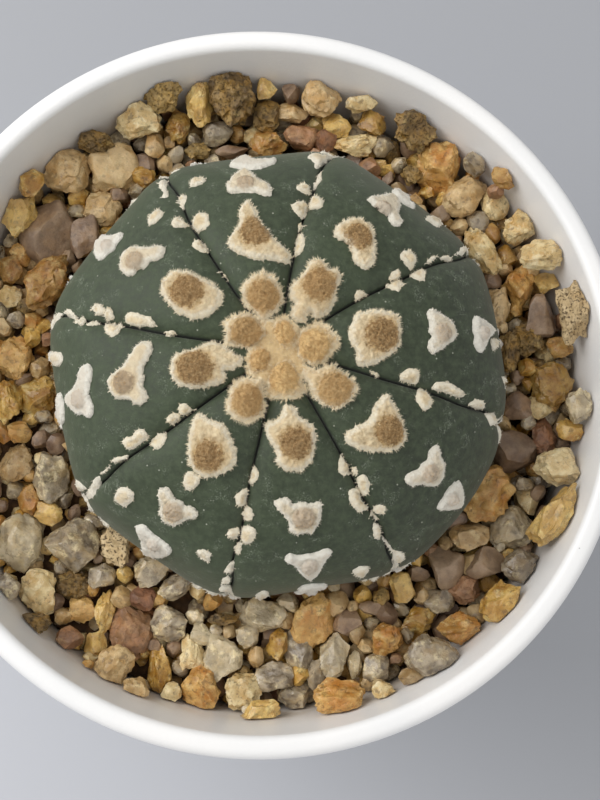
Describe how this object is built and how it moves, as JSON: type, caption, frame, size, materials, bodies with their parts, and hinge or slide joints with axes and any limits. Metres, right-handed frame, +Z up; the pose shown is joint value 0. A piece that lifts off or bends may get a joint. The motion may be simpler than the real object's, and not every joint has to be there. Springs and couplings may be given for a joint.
{
  "type": "potted star cactus",
  "caption": "Low round spineless cactus with ribs and rows of felt tufts, in a white tapered pot topped with gravel.",
  "frame": {"origin": "centre of the pot's foot, on the surface the pot stands on", "axes": "+Z up along the pot's axis; +X to the right and +Y away from the viewer in the picture"},
  "size_m": [0.1, 0.1, 0.1061],
  "materials": {
    "white_pot": "smooth satin-gloss white, rounded lip",
    "mix": "dark crumbly potting mix",
    "stones": "mixed river grit: quartz, ochre, tan and brown stones",
    "skin": "matte grey-green plant skin with fine pale flecks and cream felt tufts",
    "wool": "dense tan to cream plant wool"
  },
  "bodies": {
    "root": {"pot": "white_pot", "potting_mix": "mix", "gravel": "stones", "cactus": "skin", "crown_wool": "wool"}
  },
  "joints": []
}
